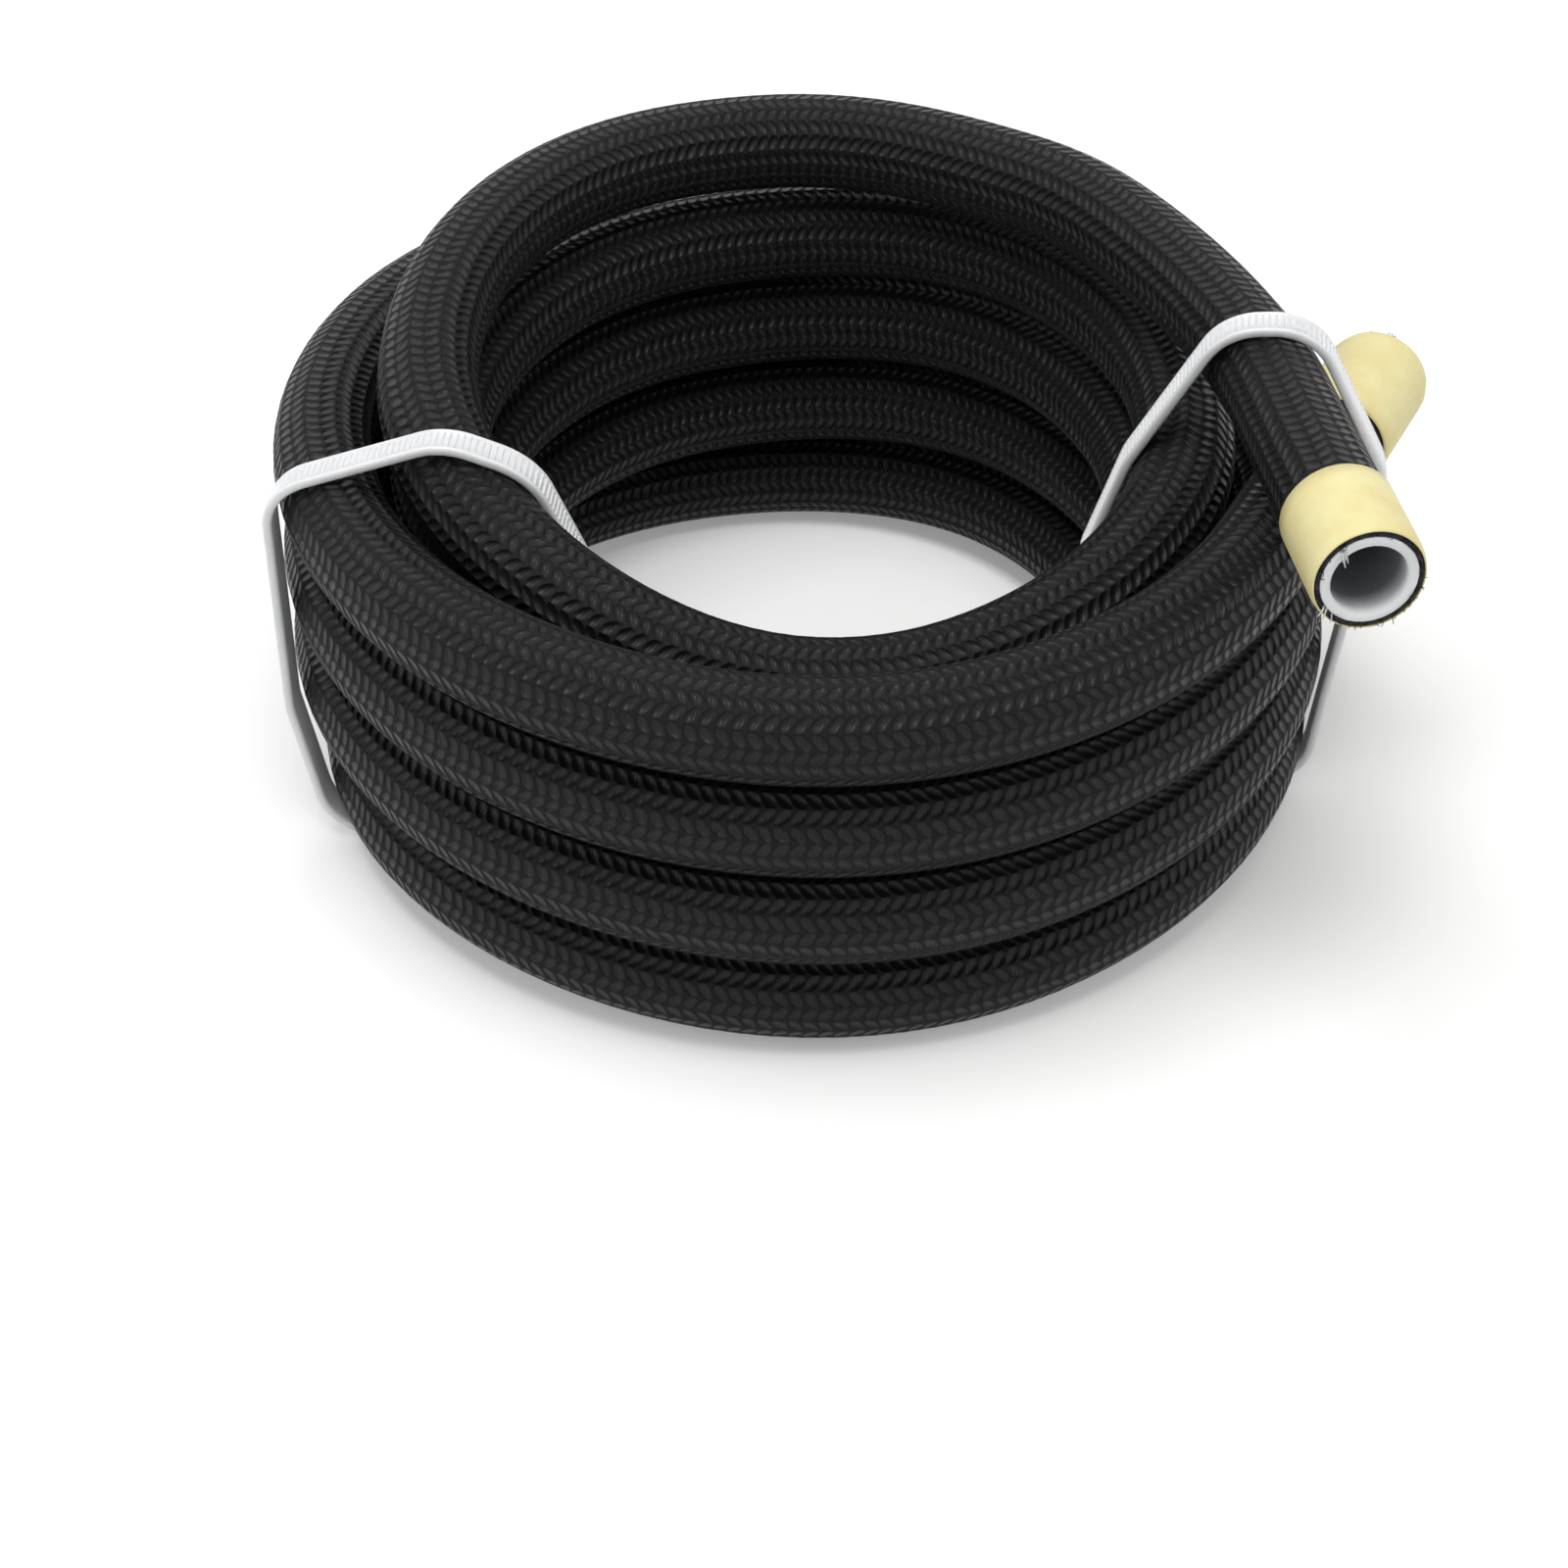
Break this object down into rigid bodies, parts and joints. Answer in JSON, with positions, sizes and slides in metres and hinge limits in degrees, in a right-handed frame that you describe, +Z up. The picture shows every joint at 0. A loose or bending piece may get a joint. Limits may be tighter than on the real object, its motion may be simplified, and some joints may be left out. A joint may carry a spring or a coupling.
{
  "type": "coiled hose",
  "caption": "Length of braided small-bore hose with a plastic inner tube, wound into a two-column coil, taped at both open ends and bound with two cable ties.",
  "frame": {"origin": "centre of the bounding box's bottom face, on the surface that the coil stands on", "axes": "+Z up along the coil's axis, +X towards the loose ends and the right-hand tie, -Y towards the front, where the front end's mouth points"},
  "size_m": [0.1626, 0.1502, 0.0784],
  "materials": {
    "braided_cover": "satin textile braid",
    "inner_tube": "smooth, slightly waxy",
    "crepe_tape": "crinkled crepe paper",
    "tie_nylon": "natural nylon"
  },
  "bodies": {
    "root": {"hose_cover_coil": "braided_cover", "hose_cover_front_end": "braided_cover", "hose_cover_rear_end": "braided_cover", "liner_coil": "inner_tube", "liner_front_end": "inner_tube", "liner_rear_end": "inner_tube", "tape_front": "crepe_tape", "tape_rear": "crepe_tape", "cable_tie_left": "tie_nylon", "cable_tie_right": "tie_nylon"}
  },
  "joints": []
}
